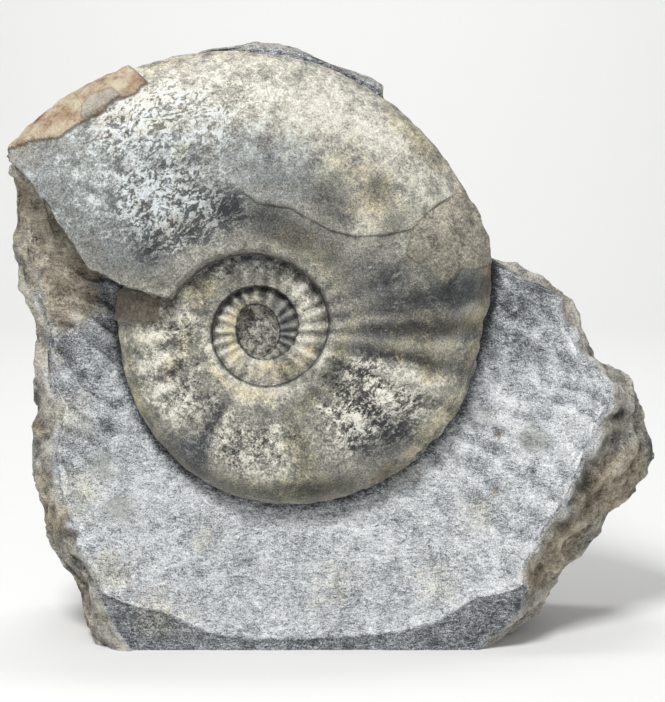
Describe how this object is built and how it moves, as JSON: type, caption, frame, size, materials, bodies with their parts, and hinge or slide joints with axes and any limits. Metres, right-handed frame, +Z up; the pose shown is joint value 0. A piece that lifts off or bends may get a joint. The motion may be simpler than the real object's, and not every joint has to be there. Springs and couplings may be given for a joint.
{
  "type": "ammonite fossil",
  "caption": "Ribbed ammonite shell, coiled flat and standing proud of the scooped face of a rough stone block with a sawn base.",
  "frame": {"origin": "middle of the sawn base that the block stands on", "axes": "+X to the right, along the block's long way; +Y to the back of the block; +Z up"},
  "size_m": [0.3294, 0.094, 0.2946],
  "materials": {
    "ammonite": "smooth, faintly waxy cream, olive and grey shell with dark branching stains",
    "matrix": "matt blue-grey stone, tooled to a fine grain, with tan broken sides"
  },
  "bodies": {
    "root": {"ammonite": "ammonite", "matrix": "matrix"}
  },
  "joints": []
}
